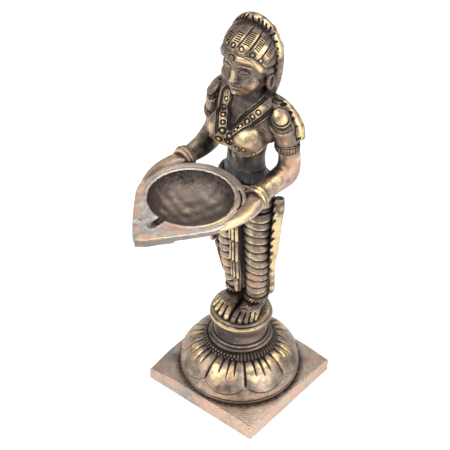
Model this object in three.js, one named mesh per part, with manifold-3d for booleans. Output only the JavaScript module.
// A lamp lady in cast brass: a woman in a draped skirt stands on a petalled pedestal and holds
// out a leaf-shaped oil lamp dish in both hands. The castings are brazed together round a tie rod
// that is peened flush under the plinth. Millimetres, +Z up. She faces -Y, so her left is +X.
import * as THREE from 'three';
import { mergeVertices } from 'three/addons/utils/BufferGeometryUtils.js';
import Module from 'manifold-3d';

const wasm = await Module();
wasm.setup();

// Joints between castings
const brazeGap = 0.3;
const tieRodRadius = 2;
const tieRodHeadRadius = 3.6;
const tieRodHeadHeight = 1.8;
const pegRadius = 1.6;
const pegLength = 3;

// Pedestal, from the ground up
const plinthWidth = 46;
const plinthDepth = 44.5;
const plinthThickness = 6;
const plinthBevel = 0.5;
const domeRadius = 20.6;
const domeHeight = 12.6;
const domeWall = 2.4;
const petalCount = 8;
const petalGroove = 0.8;
const collarRadius = 12.4;
const collarHeight = 2.2;
const beadCount = 20;
const beadRelief = 0.3;
const neckRadius = 9.2;
const neckHeight = 9;
const discRadius = 10.8;
const discThickness = 3.4;

// Heights of the figure above the disc that she stands on
const ankleHeight = 4.8;
const hipHeight = 47;
const waistHeight = 62.8;
const bustHeight = 76.6;
const shoulderHeight = 86.6;
const chinHeight = 91.6;
const neckTopHeight = 94;
const browHeight = 105.6;
const crownHeight = 116.6;

// Skirt
const ankleSetBack = 3;
const ankleSpacing = 8.2;
const hipSetBack = 0.8;
const legSpacing = 9.2;
const ankleHalfWidth = 2.7;
const ankleHalfDepth = 3.1;
const thighHalfWidth = 4.5;
const thighHalfDepth = 4.5;
const hipHalfWidth = 10.4;
const hipHalfDepth = 6.4;
const foldCount = 11;
const foldRelief = 0.3;
const foldSag = 2;
const girdleDrop = 8.2;
const girdleWidth = 3.6;
const girdleRelief = 0.9;
const sashWidth = 4.6;
const sashTiers = 3;
const sashTop = 43;
const sashBottom = 9;
const frillRadius = 1.5;
const frillScallops = 6;
const frillTop = 53;
const frillBottom = 23.5;
const hemFrillTop = 22.5;
const hemFrillBottom = 7.6;

// Feet
const footWidth = 9;
const heelWidth = 6.4;
const toeSetIn = 1.3;
const toeCount = 5;
const toeGroove = 0.5;
const toeLength = 4.2;
const ankletTube = 0.8;

// Body
const waistHalfWidth = 6.3;
const waistHalfDepth = 4.6;
const chestHalfWidth = 10.4;
const chestHalfDepth = 6;
const bustRadius = 5.5;
const bustSpacing = 9.8;
const neckHalfWidth = 4.1;
const necklaceRelief = 0.8;
const necklaceWidth = 3;
const necklaceDrop = 80;

// Head
const headHalfWidth = 7.7;
const headHalfDepth = 8.2;
const headSetBack = 0.9;
const capRelief = 0.9;
const browTube = 0.8;
const crestTube = 1.6;
const crestTeeth = 18;
const crestRelief = 0.3;
const crestSetBack = 3.3;
const crestHalfWidth = 8.4;
const bunRadius = 3.3;
const earLength = 6;

// Arms, from shoulder to finger tip
const shoulderHalfSpan = 12.6;
const armRadius = 3.7;
const elbowHalfSpan = 14.6;
const elbowSetBack = 2.6;
const wristHalfSpan = 14.8;
const wristReach = 12.4;
const wristRadius = 2.6;
const armletDrop = 11.4;
const bandTube = 0.8;
const shoulderOrnamentHeight = 8.4;
const scarfRadius = 2;

// Lamp dish
const dishReach = 27;
const dishRimHeight = 65;
const bowlRadius = 13.5;
const bowlDepth = 7.4;
const dishRimWidth = 3.5;
const dishWall = 1.7;
const rimThickness = 2.4;
const spoutLength = 26.6;
const spoutBulge = 0.7;
const wickGrooveWidth = 2.6;
const wickGrooveLength = 4.6;
const wickGrooveDepth = 1.2;

// Levels that the sizes above give
const domeTop = plinthThickness + domeHeight;
const collarTop = domeTop + collarHeight;
const discBase = collarTop + neckHeight;
const standing = discBase + discThickness;
const ankleZ = standing + ankleHeight;
const hipZ = standing + hipHeight;
const waistZ = standing + waistHeight;
const bustZ = standing + bustHeight;
const shoulderZ = standing + shoulderHeight;
const chinZ = standing + chinHeight;
const neckTopZ = standing + neckTopHeight;
const browZ = standing + browHeight;
const crownZ = standing + crownHeight;
const armletZ = shoulderZ - armletDrop;
const dishRimZ = standing + dishRimHeight;
const sides = [{ name: 'left', sign: 1 }, { name: 'right', sign: -1 }];

// Closes a stack of equal rings into one body, with a fan over each end or, as a loop, end to end
function skin(rings, { loop = false } = {}) {
  const count = rings[0].length;
  const points = rings.flat();
  const faces = [];
  const last = loop ? rings.length : rings.length - 1;
  for (let i = 0; i < last; i++) {
    const low = i * count;
    const high = ((i + 1) % rings.length) * count;
    for (let j = 0; j < count; j++) {
      const k = (j + 1) % count;
      faces.push(low + j, low + k, high + k, low + j, high + k, high + j);
    }
  }
  if (!loop) {
    const middle = (ring) => ring.reduce((sum, p) => sum.add(p), new THREE.Vector3()).divideScalar(count);
    const top = (rings.length - 1) * count;
    points.push(middle(rings[0]), middle(rings.at(-1)));
    for (let j = 0; j < count; j++) {
      const k = (j + 1) % count;
      faces.push(points.length - 2, k, j, points.length - 1, top + j, top + k);
    }
  }
  const geometry = new THREE.BufferGeometry().setFromPoints(points);
  geometry.setIndex(faces);
  return geometry;
}

// Solids: a closed geometry becomes one, and is cut and joined as one
function solid(geometry) {
  const bare = geometry.clone();
  bare.deleteAttribute('normal');
  bare.deleteAttribute('uv');
  const merged = mergeVertices(bare, 1e-5);
  return new wasm.Manifold(new wasm.Mesh({
    numProp: 3,
    vertProperties: new Float32Array(merged.attributes.position.array),
    triVerts: new Uint32Array(merged.index.array),
  }));
}

function geometryOf(body) {
  const mesh = body.getMesh();
  const geometry = new THREE.BufferGeometry();
  geometry.setAttribute('position', new THREE.BufferAttribute(new Float32Array(mesh.vertProperties), 3));
  geometry.setIndex(new THREE.BufferAttribute(new Uint32Array(mesh.triVerts), 1));
  return geometry;
}

const join = (...bodies) => bodies.reduce((whole, body) => whole.add(body));
const cut = (body, ...tools) => tools.reduce((rest, tool) => rest.subtract(tool), body);

// Smooth value of one field along evenly counted keys
function between(keys, field, t) {
  const at = (i) => keys[THREE.MathUtils.clamp(i, 0, keys.length - 1)][field] ?? 0;
  const place = t * (keys.length - 1);
  const i = Math.min(Math.floor(place), keys.length - 2);
  const u = place - i;
  const [a, b, c, d] = [at(i - 1), at(i), at(i + 1), at(i + 2)];
  return 0.5 * (2 * b + (c - a) * u + (2 * a - 5 * b + 4 * c - d) * u * u + (3 * b - a - 3 * c + d) * u ** 3);
}

// A body of level oval sections through keys {z, w, d, x, y}: half width, half depth and middle
function ovalStack(keys, { count = 20, steps = 8, grow = 0, relief = () => 0, sag = () => 0 } = {}) {
  const rings = [];
  for (let i = 0; i <= steps; i++) {
    const t = i / steps;
    const [z, w, d, x, y] = ['z', 'w', 'd', 'x', 'y'].map((field) => between(keys, field, t));
    const lift = i === 0 ? -grow : i === steps ? grow : 0;
    rings.push(Array.from({ length: count }, (_, j) => {
      const turn = (j / count) * 2 * Math.PI;
      const out = grow + relief(turn, i, t);
      return new THREE.Vector3(
        x + (w + out) * Math.cos(turn),
        y + (d + out) * Math.sin(turn),
        z + lift - sag(turn, t),
      );
    }));
  }
  return skin(rings);
}

// A limb through keys {x, y, z, r, flat}: oval sections square to its path, flat across `over`
function limb(keys, { count = 12, steps = 8, grow = 0, ends = 0.6, aside = [1, 0, 0], relief = () => 0 } = {}) {
  const rings = [];
  const place = (t) => new THREE.Vector3(...['x', 'y', 'z'].map((axis) => between(keys, axis, t)));
  for (let i = 0; i <= steps; i++) {
    const t = i / steps;
    const along = place(Math.min(1, t + 0.001)).sub(place(Math.max(0, t - 0.001))).normalize();
    const side = new THREE.Vector3(...aside);
    side.addScaledVector(along, -side.dot(along)).normalize();
    const over = new THREE.Vector3().crossVectors(along, side);
    const isEnd = i === 0 || i === steps;
    const flat = 1 - between(keys, 'flat', t);
    const end = i === 0 ? -grow : i === steps ? grow : 0;
    rings.push(Array.from({ length: count }, (_, j) => {
      const turn = (j / count) * 2 * Math.PI;
      const radius = (between(keys, 'r', t) + relief(turn, i)) * (isEnd ? ends : 1) + grow;
      return place(t).addScaledVector(along, end)
        .addScaledVector(side, radius * Math.cos(turn))
        .addScaledVector(over, radius * flat * Math.sin(turn));
    }));
  }
  return skin(rings);
}

// A turned shell from a closed outline of [radius, z], whose radius may change round it
function turned(outline, { count = 32, shape = (turn, r) => r } = {}) {
  const rings = outline.map(([r, z]) => Array.from({ length: count }, (_, j) => {
    const turn = (j / count) * 2 * Math.PI;
    const out = shape(turn, r, z);
    return new THREE.Vector3(out * Math.cos(turn), out * Math.sin(turn), z);
  }));
  return skin(rings, { loop: true });
}

function ball(x, y, z, rx, ry = rx, rz = rx, across = 12, down = 8) {
  return solid(new THREE.SphereGeometry(1, across, down).rotateX(Math.PI / 2).scale(rx, ry, rz).translate(x, y, z));
}

function post(radius, low, high, count = 16, topRadius = radius) {
  const shaft = new THREE.CylinderGeometry(topRadius, radius, high - low, count).rotateX(Math.PI / 2);
  return solid(shaft.translate(0, 0, (low + high) / 2));
}

function block(xs, ys, zs) {
  const box = new THREE.BoxGeometry(xs[1] - xs[0], ys[1] - ys[0], zs[1] - zs[0]);
  return solid(box.translate((xs[0] + xs[1]) / 2, (ys[0] + ys[1]) / 2, (zs[0] + zs[1]) / 2));
}

const halfSpace = (sign, from) => block(sign > 0 ? [from, 40] : [-40, -from], [-60, 40], [0, 200]);

// Pedestal
const rodHole = tieRodRadius + brazeGap;
const rodTop = discBase + discThickness / 2;

function plinth() {
  const halfX = plinthWidth / 2 - plinthBevel;
  const halfY = plinthDepth / 2 - plinthBevel;
  const outline = new THREE.Shape([
    new THREE.Vector2(-halfX, -halfY),
    new THREE.Vector2(halfX, -halfY),
    new THREE.Vector2(halfX, halfY),
    new THREE.Vector2(-halfX, halfY),
  ]);
  const slab = solid(new THREE.ExtrudeGeometry(outline, {
    depth: plinthThickness - 2 * plinthBevel,
    bevelSize: plinthBevel,
    bevelThickness: plinthBevel,
    bevelSegments: 2,
  }).translate(0, 0, plinthBevel));
  const mouth = tieRodHeadRadius + brazeGap;
  return cut(slab, post(rodHole, -1, plinthThickness + 1), post(mouth, 0, tieRodHeadHeight, 16, rodHole));
}

function tieRod() {
  return join(
    post(tieRodRadius, tieRodHeadHeight / 2, rodTop),
    post(tieRodHeadRadius, 0, tieRodHeadHeight, 16, tieRodRadius),
  );
}

// The dome is a hollow casting, open underneath, with a groove between each two petals
function lotusDome() {
  const z = (share) => plinthThickness + domeHeight * share;
  const outer = [[0.965, 0], [1, 0.2], [0.965, 0.42], [0.87, 0.66], [0.74, 0.86], [0.6, 1]];
  const inner = [[0.5, 0.76], [0.76, 0.45], [0.84, 0]];
  const outline = [
    ...outer.map(([r, h]) => [domeRadius * r, z(h)]),
    [rodHole, z(1)],
    [rodHole, z(1) - domeWall],
    ...inner.map(([r, h]) => [(domeRadius - domeWall) * (r + 0.06), z(h)]),
  ];
  const shape = (turn, r, level) => {
    const isPetal = r > domeRadius * 0.65 && level > plinthThickness + 1;
    return isPetal ? r - petalGroove * Math.max(0, Math.cos(turn * petalCount)) ** 4 : r;
  };
  return solid(turned(outline, { count: petalCount * 5, shape }));
}

function beadedCollar() {
  const outline = [
    [rodHole, domeTop],
    [collarRadius - 0.5, domeTop],
    [collarRadius, domeTop + collarHeight * 0.45],
    [collarRadius - 1.2, collarTop],
    [rodHole, collarTop],
  ];
  const shape = (turn, r) => (r > collarRadius - 0.4 ? r + beadRelief * Math.cos(turn * beadCount) : r);
  return solid(turned(outline, { count: beadCount * 2, shape }));
}

function pedestalNeck() {
  const z = (share) => collarTop + neckHeight * share;
  const outline = [
    [rodHole, z(0)], [collarRadius - 1.7, z(0)], [collarRadius - 1.4, z(0.1)], [neckRadius + 0.8, z(0.22)],
    [neckRadius, z(0.5)], [neckRadius + 0.7, z(0.9)], [neckRadius + 0.7, z(1)], [rodHole, z(1)],
  ];
  return solid(turned(outline, { count: 28 }));
}

function footDisc() {
  const z = (share) => discBase + discThickness * share;
  const outline = [
    [0, z(0)], [discRadius - 1, z(0)], [discRadius - 0.1, z(0.22)], [discRadius, z(0.5)],
    [discRadius - 0.4, z(0.8)], [discRadius - 1.4, z(1)], [0, z(1)],
  ];
  const body = new THREE.LatheGeometry(outline.map(([r, h]) => new THREE.Vector2(r, h)), 32).rotateX(Math.PI / 2);
  return cut(solid(body), post(rodHole, discBase - 1, rodTop + brazeGap));
}

// Legs and skirt. Each leg is a tapering column whose cloth hangs in curved folds
function legKeys(sign) {
  const x = (sign * legSpacing) / 2;
  const ankleX = (sign * ankleSpacing) / 2;
  const rise = hipZ - ankleZ;
  const swing = ankleSetBack - hipSetBack;
  return [
    { z: ankleZ, w: ankleHalfWidth, d: ankleHalfDepth, x: ankleX, y: ankleSetBack },
    { z: ankleZ + rise * 0.25, w: ankleHalfWidth + 0.9, d: ankleHalfDepth + 0.7, x: (x + ankleX) / 2, y: ankleSetBack - swing * 0.4 },
    { z: ankleZ + rise * 0.5, w: thighHalfWidth - 0.5, d: thighHalfDepth - 0.5, x, y: hipSetBack + swing * 0.3 },
    { z: ankleZ + rise * 0.75, w: thighHalfWidth, d: thighHalfDepth, x, y: hipSetBack },
    { z: hipZ, w: thighHalfWidth + 0.9, d: thighHalfDepth + 1.4, x: x + sign * 0.6, y: hipSetBack },
  ];
}

const frontShare = (turn) => Math.max(0, -Math.sin(turn));

function leg(sign, grow = 0) {
  const relief = (turn, i) => (grow ? foldRelief : foldRelief * (i % 2 ? 1 : -1) * (0.3 + 0.7 * frontShare(turn)));
  const sag = (turn, t) => foldSag * frontShare(turn) * Math.min(1, 5 * t, 5 * (1 - t));
  const column = solid(ovalStack(legKeys(sign), { count: 13, steps: foldCount * 2, grow, relief, sag }));
  const innerFace = halfSpace(sign, brazeGap / 2 - Math.min(grow, brazeGap));
  return column.intersect(innerFace);
}

function hipKeys() {
  return [
    { z: hipZ + brazeGap, w: hipHalfWidth, d: hipHalfDepth, y: hipSetBack },
    { z: hipZ + 5, w: hipHalfWidth + 0.4, d: hipHalfDepth + 0.2, y: hipSetBack * 0.8 },
    { z: hipZ + 9.6, w: hipHalfWidth - 1.3, d: hipHalfDepth - 0.8, y: hipSetBack * 0.5 },
    { z: waistZ, w: waistHalfWidth, d: waistHalfDepth },
  ];
}

const hipForm = (grow = 0) => solid(ovalStack(hipKeys(), { count: 20, steps: 6, grow }));

function hips() {
  return cut(hipForm(), post(pegRadius + brazeGap, waistZ - pegLength - brazeGap, waistZ + 1, 12));
}

const girdleLow = waistZ - girdleDrop;

function girdleBand(grow) {
  const band = hipForm(brazeGap + girdleRelief + grow);
  return band.intersect(block([-40, 40], [-40, 40], [girdleLow - grow, girdleLow + girdleWidth + grow]));
}

const girdle = () => cut(girdleBand(0), hipForm(brazeGap));

// Tiers of pleats hang between the legs, each tier tucked under the one above, down to a point
function sash() {
  const drop = (sashTop - sashBottom) / sashTiers;
  const frontAt = (z) => THREE.MathUtils.mapLinear(z, sashBottom, sashTop, ankleSetBack - 5, hipSetBack - 5.8);
  const tiers = [];
  for (let i = 0; i < sashTiers; i++) {
    const bottom = sashBottom + drop * (sashTiers - 1 - i) + (i === sashTiers - 1 ? 0 : 0.5);
    const half = (sashWidth / 2) * (1 - 0.12 * i);
    const y = frontAt(bottom + drop / 2);
    tiers.push(limb([
      { x: 0, y: y + 0.4, z: standing + bottom, r: half * (i === sashTiers - 1 ? 0.4 : 1) },
      { x: 0, y: y - 0.1, z: standing + bottom + drop * 0.35, r: half },
      { x: 0, y: y + 0.3, z: standing + bottom + drop + 0.8, r: half * 0.8 },
    ], { count: 12, steps: 3, ends: 1, relief: (turn) => 0.18 * half * Math.cos(6 * turn) }));
  }
  const backing = limb([
    { x: 0, y: ankleSetBack - 2.6, z: standing + sashBottom + 2, r: sashWidth * 0.36 },
    { x: 0, y: hipSetBack - 3.6, z: standing + (sashTop + sashBottom) / 2, r: sashWidth * 0.42 },
    { x: 0, y: hipSetBack - 4.4, z: standing + sashTop, r: sashWidth * 0.42 },
  ], { count: 8, steps: 3 });
  return cut(join(...tiers.map(solid), solid(backing)), leg(1, brazeGap), leg(-1, brazeGap), hipForm(brazeGap));
}

// The gathered edge of the skirt cloth falls in scallops down the outside of each leg, from a
// low end {x, y, z} to a high one
function frillForm(sign, low, high, scallops, grow = 0) {
  const last = scallops * 2;
  const keys = Array.from({ length: last + 1 }, (_, i) => {
    const share = i / last;
    return {
      x: sign * (THREE.MathUtils.lerp(low.x, high.x, share) + 0.3 * Math.sin(Math.PI * share)),
      y: THREE.MathUtils.lerp(low.y, high.y, share),
      z: THREE.MathUtils.lerp(low.z, high.z, share),
      r: THREE.MathUtils.lerp(low.r, high.r, share) * (i % 2 ? 1.08 : 0.8),
    };
  });
  return solid(limb(keys, { count: 8, steps: last, grow }));
}

function sideFrillForm(sign, grow = 0) {
  const low = { x: 11, y: hipSetBack - 1.2, z: standing + frillBottom, r: frillRadius };
  const high = { x: 12.6, y: hipSetBack + 0.6, z: standing + frillTop, r: frillRadius * 1.45 };
  return frillForm(sign, low, high, frillScallops, grow);
}

function sideFrill(sign) {
  return cut(sideFrillForm(sign), leg(sign, brazeGap), hipForm(brazeGap), girdleBand(brazeGap));
}

function hemFrill(sign) {
  const low = { x: 7.6, y: ankleSetBack + 2.4, z: standing + hemFrillBottom, r: frillRadius };
  const high = { x: 10.8, y: hipSetBack + 0.2, z: standing + hemFrillTop, r: frillRadius };
  return cut(frillForm(sign, low, high, 2), leg(sign, brazeGap), sideFrillForm(sign, brazeGap));
}

// Feet: each slopes from the ankle to its toes, which end along the edge of the disc
function foot(sign) {
  const heel = ankleSetBack + ankleHalfDepth + 0.6;
  const edge = discRadius - toeSetIn;
  const profile = new THREE.Shape();
  profile.moveTo(-edge, 0);
  profile.lineTo(heel, 0);
  profile.lineTo(heel, ankleHeight - brazeGap);
  profile.lineTo(ankleSetBack - ankleHalfDepth, ankleHeight - brazeGap);
  profile.quadraticCurveTo(-edge + 4, 3.2, -edge + 1.6, 2.5);
  profile.quadraticCurveTo(-edge, 2.1, -edge, 0);
  const wedge = new THREE.ExtrudeGeometry(profile, { depth: footWidth, bevelEnabled: false, curveSegments: 4 });
  wedge.rotateX(Math.PI / 2).rotateZ(Math.PI / 2);
  wedge.translate(sign > 0 ? brazeGap / 2 : -brazeGap / 2 - footWidth, 0, standing);
  const dome = ball(0, 0, standing - 3.5, edge + 0.7, edge + 0.7, ankleHeight + 4.6, 28, 12);
  const plan = new THREE.ExtrudeGeometry(new THREE.Shape([
    new THREE.Vector2(0, -edge - 1),
    new THREE.Vector2(sign * (footWidth + 0.4), -edge - 1),
    new THREE.Vector2(sign * (footWidth + 0.4), -edge * 0.45),
    new THREE.Vector2(sign * heelWidth, heel * 0.4),
    new THREE.Vector2(sign * heelWidth * 0.85, heel + 1),
    new THREE.Vector2(0, heel + 1),
  ]), { depth: 12, bevelEnabled: false });
  const sole = solid(plan.translate(0, 0, standing - 1));
  const pad = solid(wedge).intersect(post(edge, standing - 1, standing + 9, 28)).intersect(dome).intersect(sole);
  const grooves = [];
  for (let i = 1; i < toeCount; i++) {
    const x = sign * (footWidth * i) / toeCount;
    const reach = Math.sqrt(edge * edge - x * x);
    grooves.push(block(
      [x - toeGroove / 2, x + toeGroove / 2],
      [-reach - 1, -reach + toeLength],
      [standing + 1, standing + 6],
    ));
  }
  return cut(pad, ...grooves);
}

function anklet(sign) {
  const [low] = legKeys(sign);
  const ring = (z, out) => ({ ...low, z, w: low.w + out, d: low.d + out });
  const middle = ankleZ + ankletTube + 0.4;
  const band = ovalStack([
    ring(middle - ankletTube, brazeGap + 0.5),
    ring(middle, brazeGap + 0.3 + ankletTube),
    ring(middle + ankletTube, brazeGap + 0.5),
  ], { count: 20, steps: 3, relief: (turn, i) => (i % 3 ? 0.12 * Math.cos(10 * turn) : 0) });
  const sleeve = ovalStack([ring(ankleZ - 1, brazeGap + 0.1), ring(ankleZ + 5, brazeGap + 0.3)], { count: 20, steps: 1 });
  return cut(solid(band).intersect(halfSpace(sign, brazeGap / 2)), solid(sleeve), leg(sign, brazeGap));
}

// Torso, with the bust and the neck; a peg joins it to the hips and sockets take arms and head
function torsoKeys() {
  return [
    { z: waistZ, w: waistHalfWidth, d: waistHalfDepth },
    { z: waistZ + 5.5, w: waistHalfWidth + 1.3, d: waistHalfDepth + 0.7 },
    { z: waistZ + 11.5, w: chestHalfWidth - 1.4, d: chestHalfDepth - 0.3 },
    { z: waistZ + 17, w: chestHalfWidth, d: chestHalfDepth - 0.6 },
    { z: shoulderZ, w: chestHalfWidth + 0.5, d: chestHalfDepth - 1.2, y: 0.8 },
    { z: shoulderZ + 2.6, w: neckHalfWidth + 4.4, d: neckHalfWidth, y: 1.4 },
    { z: shoulderZ + 4.6, w: neckHalfWidth + 0.4, d: neckHalfWidth, y: 0.9 },
    { z: neckTopZ, w: neckHalfWidth, d: neckHalfWidth, y: 0.6 },
  ];
}

const shoulderPegZ = shoulderZ - 3.4;

function shoulderPeg(sign, radius, inner, outer) {
  const peg = new THREE.CylinderGeometry(radius, radius, outer - inner, 12).rotateZ(Math.PI / 2);
  return solid(peg.translate((sign * (inner + outer)) / 2, 0.4, shoulderPegZ));
}

function torsoForm(grow = 0) {
  const trunk = solid(ovalStack(torsoKeys(), { count: 18, steps: 10, grow }));
  const bust = sides.map(({ sign }) => ball(
    (sign * bustSpacing) / 2, 0.7 - bustRadius, bustZ,
    bustRadius + grow, bustRadius - 0.7 + grow, bustRadius + 0.4 + grow, 12, 8,
  ));
  return join(trunk, ...bust);
}

function torso() {
  const outer = chestHalfWidth + 1;
  const sockets = sides.map(({ sign }) => (
    shoulderPeg(sign, pegRadius + brazeGap, outer - pegLength - 1 - brazeGap, outer + 1)
  ));
  const neckSocket = post(pegRadius + brazeGap, neckTopZ - pegLength - brazeGap, neckTopZ + 1, 12);
  const waistPeg = post(pegRadius, waistZ - pegLength, waistZ + 1, 12);
  return join(cut(torsoForm(), neckSocket, ...sockets), waistPeg);
}

// Two straps come over the shoulders and meet in a point between the breasts
function necklace() {
  const apex = standing + necklaceDrop;
  const shoulder = 7.6;
  const straps = sides.map(({ sign }) => {
    const outline = new THREE.Shape([
      new THREE.Vector2(0, apex - necklaceWidth),
      new THREE.Vector2(sign * shoulder, shoulderZ + 1),
      new THREE.Vector2(sign * (shoulder - necklaceWidth), shoulderZ + 3),
      new THREE.Vector2(0, apex + 1.4),
    ]);
    const slab = new THREE.ExtrudeGeometry(outline, { depth: 14, bevelEnabled: false });
    return solid(slab.rotateX(Math.PI / 2).translate(0, 0.2, 0));
  });
  const shell = cut(torsoForm(brazeGap + necklaceRelief), torsoForm(brazeGap));
  return join(...straps).intersect(shell);
}

// Head: face and skull; the cap, crest, back hair, bun and ear drops lie on it
function headKeys() {
  const high = browZ - chinZ;
  return [
    { z: chinZ, w: 2.8, d: 3.4, y: headSetBack - 4 },
    { z: chinZ + high * 0.2, w: headHalfWidth - 1.9, d: headHalfDepth - 1.8, y: headSetBack - 1.5 },
    { z: chinZ + high * 0.45, w: headHalfWidth - 0.6, d: headHalfDepth - 0.6, y: headSetBack - 0.4 },
    { z: chinZ + high * 0.75, w: headHalfWidth, d: headHalfDepth, y: headSetBack },
    { z: browZ, w: headHalfWidth - 0.1, d: headHalfDepth - 0.1, y: headSetBack },
    { z: browZ + 4, w: headHalfWidth - 1, d: headHalfDepth - 1.1, y: headSetBack + 0.2 },
    { z: browZ + 7, w: headHalfWidth - 3, d: headHalfDepth - 3.2, y: headSetBack + 0.8 },
    { z: browZ + 8.2, w: 1.8, d: 2, y: headSetBack + 1.4 },
  ];
}

const skull = (grow = 0) => solid(ovalStack(headKeys(), { count: 20, steps: 10, grow }));

function noseGeometry() {
  const wide = 1.7;
  const profile = new THREE.Shape([
    new THREE.Vector2(-1, 0),
    new THREE.Vector2(1.5, 0.3),
    new THREE.Vector2(1.7, 0.9),
    new THREE.Vector2(0.3, 4.4),
    new THREE.Vector2(-1, 4.4),
  ]);
  const wedge = new THREE.ExtrudeGeometry(profile, { depth: wide, bevelEnabled: false });
  return wedge.rotateX(Math.PI / 2).rotateZ(-Math.PI / 2)
    .translate(-wide / 2, headSetBack - headHalfDepth, chinZ + 4.7);
}

function head() {
  const peg = post(pegRadius, neckTopZ - pegLength, neckTopZ + 1.5, 12);
  return join(cut(join(skull(), solid(noseGeometry())), torsoForm(brazeGap)), peg);
}

function cap() {
  const front = block([-20, 20], [-20, crestSetBack - crestTube - brazeGap], [browZ, crownZ + 5]);
  return cut(skull(capRelief + brazeGap).intersect(front), skull(brazeGap));
}

// A rolled brow band follows the edge of the cap from temple to temple, with a boss at its middle
function browBand() {
  const keys = Array.from({ length: 9 }, (_, i) => {
    const turn = Math.PI * (1.08 + 0.84 * (i / 8));
    return {
      x: (headHalfWidth + brazeGap) * Math.cos(turn),
      y: headSetBack + (headHalfDepth + brazeGap) * Math.sin(turn),
      z: browZ - browTube - brazeGap - 2.6 * Math.abs(Math.cos(turn)) ** 1.5,
      r: browTube,
    };
  });
  const band = solid(limb(keys, { count: 6, steps: 10, aside: [0, 0, 1] }));
  const boss = ball(0, headSetBack - headHalfDepth - 0.7, browZ - browTube, 1.5, 0.9, 1.5, 10, 6);
  return cut(join(band, boss), skull(brazeGap), skull(capRelief + 2 * brazeGap).intersect(
    block([-20, 20], [-20, 20], [browZ - brazeGap, crownZ + 5]),
  ));
}

// The crest is a thick toothed roll that stands over the head from nape to nape in one upright plane
function crestKeys() {
  const middle = browZ - 1.8;
  const rise = crownZ - crestTube - middle;
  const drop = middle - chinZ + 1;
  const quarter = Math.PI / 4;
  return Array.from({ length: 13 }, (_, i) => {
    const turn = -quarter + (Math.PI + 2 * quarter) * (i / 12);
    const up = Math.sin(turn);
    return {
      x: crestHalfWidth * Math.cos(turn),
      y: crestSetBack,
      z: middle + (up > 0 ? rise : drop / Math.sin(quarter)) * up,
      r: crestTube,
    };
  });
}

function crestForm(grow = 0) {
  const relief = (turn, i) => (Math.cos(turn) < 0 ? crestRelief * (i % 2 ? 1 : -1) * -Math.cos(turn) : 0);
  return solid(limb(crestKeys(), { count: 7, steps: crestTeeth * 2, grow, aside: [0, 1, 0], relief }));
}

const crest = () => cut(crestForm(), skull(brazeGap));

function hairBack() {
  const behind = block([-20, 20], [crestSetBack + crestTube + brazeGap, 30], [chinZ + 3, crownZ]);
  return cut(skull(capRelief + brazeGap).intersect(behind), skull(brazeGap), crestForm(brazeGap));
}

function bun() {
  const knot = ball(0, headSetBack + headHalfDepth + 1.6, browZ - 4.6, bunRadius + 0.7, bunRadius, bunRadius + 0.4, 14, 8);
  return cut(knot, skull(capRelief + 2 * brazeGap));
}

function ear(sign) {
  const lobe = ball(sign * (headHalfWidth + 0.5), headSetBack - 0.9, browZ - 8.2, 1.1, 1.7, earLength / 2, 10, 6);
  return cut(lobe, skull(brazeGap), crestForm(brazeGap), torsoForm(brazeGap), browBandRoom());
}

// Room that the brow band needs at each temple
const browBandRoom = () => block([-20, 20], [-20, 20], [browZ - 4.8, browZ + 4]);

// Arms
function upperArmKeys(sign) {
  return [
    { x: sign * (shoulderHalfSpan - 1.1), y: 0.4, z: shoulderZ + 0.6, r: armRadius * 0.76 },
    { x: sign * (shoulderHalfSpan - 0.1), y: 0.5, z: shoulderZ - 2.9, r: armRadius * 1.06 },
    { x: sign * (shoulderHalfSpan + 0.7), y: 1.6, z: (shoulderZ + armletZ) / 2 - 1, r: armRadius * 1.05 },
    { x: sign * (elbowHalfSpan - 0.5), y: elbowSetBack - 0.4, z: armletZ, r: armRadius * 0.95 },
  ];
}

const upperArmForm = (sign, grow = 0) => solid(limb(upperArmKeys(sign), { count: 12, steps: 6, grow }));

function upperArm(sign) {
  const outer = chestHalfWidth + 1;
  const peg = shoulderPeg(sign, pegRadius, outer - pegLength - 1, outer + 2.6);
  const above = block([-40, 40], [-20, 20], [armletZ, shoulderZ + 10]);
  return join(cut(upperArmForm(sign).intersect(above), torsoForm(brazeGap)), peg);
}

function foreArmKeys(sign) {
  return [
    { x: sign * (elbowHalfSpan - 0.5), y: elbowSetBack - 0.3, z: armletZ + 2, r: armRadius * 0.95 },
    { x: sign * (elbowHalfSpan + 0.1), y: elbowSetBack + 0.3, z: dishRimZ + 4.6, r: armRadius * 0.95 },
    { x: sign * (elbowHalfSpan + 0.4), y: elbowSetBack - 1.4, z: dishRimZ + 0.4, r: armRadius * 1.05 },
    { x: sign * (elbowHalfSpan - 0.1), y: -4.4, z: dishRimZ - 0.7, r: armRadius * 0.95 },
    { x: sign * wristHalfSpan, y: -wristReach, z: dishRimZ - 0.9, r: wristRadius },
  ];
}

const foreArmForm = (sign, grow = 0) => solid(limb(foreArmKeys(sign), { count: 12, steps: 9, grow, ends: 1 }));

function foreArm(sign) {
  return foreArmForm(sign).intersect(block([-40, 40], [-60, 20], [dishRimZ - 10, armletZ - brazeGap]));
}

// Each hand lies along the dish, with the palm against its edge and the fingers under its rim
function handForm(sign, grow = 0) {
  return solid(limb([
    { x: sign * wristHalfSpan, y: -wristReach - brazeGap, z: dishRimZ - 1, r: wristRadius, flat: 0.1 },
    { x: sign * (wristHalfSpan + 1.1), y: -wristReach - 5, z: dishRimZ - 1.2, r: wristRadius, flat: 0.25 },
    { x: sign * (wristHalfSpan + 2.4), y: -wristReach - 11, z: dishRimZ - 1.7, r: wristRadius - 0.5, flat: 0.25 },
    { x: sign * (wristHalfSpan + 0.4), y: -wristReach - 17, z: dishRimZ - 2.8, r: wristRadius - 0.9, flat: 0.1 },
    { x: sign * (wristHalfSpan - 4), y: -wristReach - 22, z: dishRimZ - 3.4, r: wristRadius - 1.4, flat: 0 },
  ], { count: 12, steps: 9, ends: 1, grow }));
}

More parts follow.
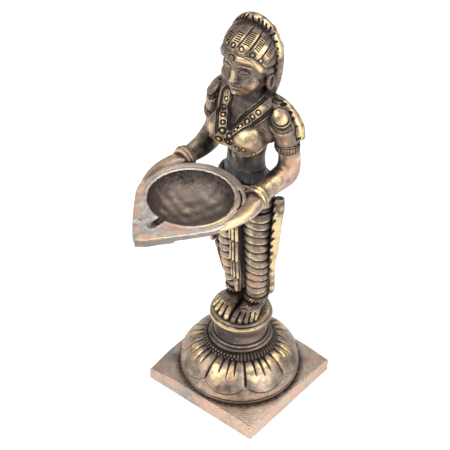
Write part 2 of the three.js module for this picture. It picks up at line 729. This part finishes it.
const hand = (sign) => cut(handForm(sign), dishForm(brazeGap), foreArmForm(sign, brazeGap));

// A band round the arm at one place, cut to what it goes round
function armBand(at, along, radius, ...inside) {
  const ring = new THREE.TorusGeometry(radius, bandTube, 6, 14);
  const turn = new THREE.Quaternion().setFromUnitVectors(new THREE.Vector3(0, 0, 1), along.normalize());
  ring.applyQuaternion(turn).translate(at.x, at.y, at.z);
  return cut(solid(ring), ...inside);
}

function armlet(sign) {
  const end = upperArmKeys(sign).at(-1);
  return armBand(new THREE.Vector3(end.x, end.y, end.z), new THREE.Vector3(sign * 0.1, 0.15, -1),
    end.r + bandTube * 0.1, upperArmForm(sign, brazeGap), foreArmForm(sign, brazeGap), torsoForm(brazeGap),
    scarfForm(sign, brazeGap));
}

function bangle(sign) {
  const [near, end] = foreArmKeys(sign).slice(-2);
  const along = new THREE.Vector3(end.x - near.x, end.y - near.y, end.z - near.z);
  return armBand(new THREE.Vector3(end.x, end.y, end.z), along, end.r + bandTube * 0.3,
    foreArmForm(sign, brazeGap), handForm(sign, brazeGap), dishForm(brazeGap));
}

// An almond ornament lies over the front of each shoulder
function shoulderOrnament(sign) {
  const boss = ball(sign * shoulderHalfSpan, -2.2, shoulderZ - 2.9, 2.9, 2.4, shoulderOrnamentHeight / 2, 12, 8);
  return cut(boss, upperArmForm(sign, brazeGap), torsoForm(brazeGap));
}

// The scarf lies in a roll behind each shoulder, from the neck to the upper arm
function scarfForm(sign, grow = 0) {
  return solid(limb([
    { x: sign * 6, y: 3.6, z: shoulderZ + 4, r: scarfRadius * 0.85, flat: 0.4 },
    { x: sign * 10.8, y: 4, z: shoulderZ + 2.3, r: scarfRadius, flat: 0.2 },
    { x: sign * 14.3, y: 4.2, z: shoulderZ - 1.6, r: scarfRadius },
    { x: sign * 16.4, y: 4.3, z: shoulderZ - 6, r: scarfRadius },
    { x: sign * 17.3, y: 4.2, z: shoulderZ - 10.4, r: scarfRadius * 0.85 },
  ], { count: 9, steps: 8, grow }));
}

function scarfEnd(sign) {
  return cut(scarfForm(sign), upperArmForm(sign, brazeGap), torsoForm(brazeGap), crestForm(brazeGap));
}

// Lamp dish: a leaf-shaped rim plate with a round bowl sunk in it and a groove for the wick
function leafOutline(grow) {
  const radius = bowlRadius + dishRimWidth + grow;
  const reach = spoutLength + grow * 1.4;
  const half = Math.acos(radius / reach);
  const bulge = spoutBulge + grow;
  const outline = new THREE.Shape();
  outline.absarc(0, 0, radius, -Math.PI / 2 + half, 1.5 * Math.PI - half, false);
  const shoulder = new THREE.Vector2(radius * Math.sin(half), radius * Math.cos(half));
  const away = new THREE.Vector2(Math.sin(half), -Math.cos(half)).multiplyScalar(bulge);
  outline.quadraticCurveTo(-shoulder.x / 2 - away.x, -(shoulder.y + reach) / 2 + away.y, 0, -reach);
  outline.quadraticCurveTo(shoulder.x / 2 + away.x, -(shoulder.y + reach) / 2 + away.y, shoulder.x, -shoulder.y);
  return outline;
}

function dishForm(grow = 0) {
  const plate = new THREE.ExtrudeGeometry(leafOutline(grow), {
    depth: rimThickness + 2 * grow,
    bevelEnabled: false,
    curveSegments: 12,
  }).translate(0, -dishReach, dishRimZ - rimThickness - grow);
  return join(solid(plate), bowlForm(bowlRadius + dishWall + grow, bowlDepth + dishWall + grow));
}

// The lower half of a flattened ball, level with the rim
function bowlForm(radius, depth) {
  const below = block([-40, 40], [-80, 20], [dishRimZ - 40, dishRimZ - 0.01]);
  return ball(0, -dishReach, dishRimZ, radius, radius, depth, 24, 10).intersect(below);
}

function lampDish() {
  const mouth = solid(new THREE.CylinderGeometry(bowlRadius, bowlRadius, 1, 24).rotateX(Math.PI / 2)
    .translate(0, -dishReach, dishRimZ + 0.48));
  const lip = -dishReach - bowlRadius;
  const groove = block(
    [-wickGrooveWidth / 2, wickGrooveWidth / 2],
    [lip - wickGrooveLength, lip + 2],
    [dishRimZ - wickGrooveDepth, dishRimZ + 1],
  );
  return cut(dishForm(), bowlForm(bowlRadius, bowlDepth), mouth, groove);
}

// Finishes: one aged brass, darker where it lies deep and lighter where it is rubbed
const finishes = {
  agedBrass: { color: 0x8c7a66, roughness: 0.42, metalness: 0.9 },
  rubbedBrass: { color: 0xd1ae74, roughness: 0.34, metalness: 0.95 },
  darkBrass: { color: 0x4e4238, roughness: 0.6, metalness: 0.8 },
};

const lady = new THREE.Group();

function place(name, body, finish = 'agedBrass') {
  const mesh = new THREE.Mesh(geometryOf(body), new THREE.MeshStandardMaterial(finishes[finish]));
  mesh.name = name;
  lady.add(mesh);
}

place('plinth', plinth());
place('tie_rod', tieRod(), 'rubbedBrass');
place('lotus_dome', lotusDome(), 'rubbedBrass');
place('beaded_collar', beadedCollar(), 'darkBrass');
place('pedestal_neck', pedestalNeck());
place('foot_disc', footDisc(), 'rubbedBrass');
place('hips', hips());
place('girdle', girdle(), 'darkBrass');
place('centre_sash', sash(), 'rubbedBrass');
place('torso', torso());
place('necklace', necklace(), 'rubbedBrass');
place('head', head());
place('cap', cap(), 'rubbedBrass');
place('brow_band', browBand(), 'rubbedBrass');
place('crest', crest(), 'rubbedBrass');
place('back_hair', hairBack());
place('hair_bun', bun());
place('lamp_dish', lampDish());

for (const { name, sign } of sides) {
  place(`${name}_foot`, foot(sign), 'rubbedBrass');
  place(`${name}_anklet`, anklet(sign), 'darkBrass');
  place(`${name}_leg`, leg(sign));
  place(`${name}_side_frill`, sideFrill(sign), 'rubbedBrass');
  place(`${name}_hem_frill`, hemFrill(sign), 'rubbedBrass');
  place(`${name}_ear_drop`, ear(sign));
  place(`${name}_upper_arm`, upperArm(sign));
  place(`${name}_shoulder_ornament`, shoulderOrnament(sign), 'rubbedBrass');
  place(`${name}_scarf_end`, scarfEnd(sign), 'rubbedBrass');
  place(`${name}_armlet`, armlet(sign), 'darkBrass');
  place(`${name}_forearm`, foreArm(sign));
  place(`${name}_bangle`, bangle(sign), 'rubbedBrass');
  place(`${name}_hand`, hand(sign));
}

export default lady;
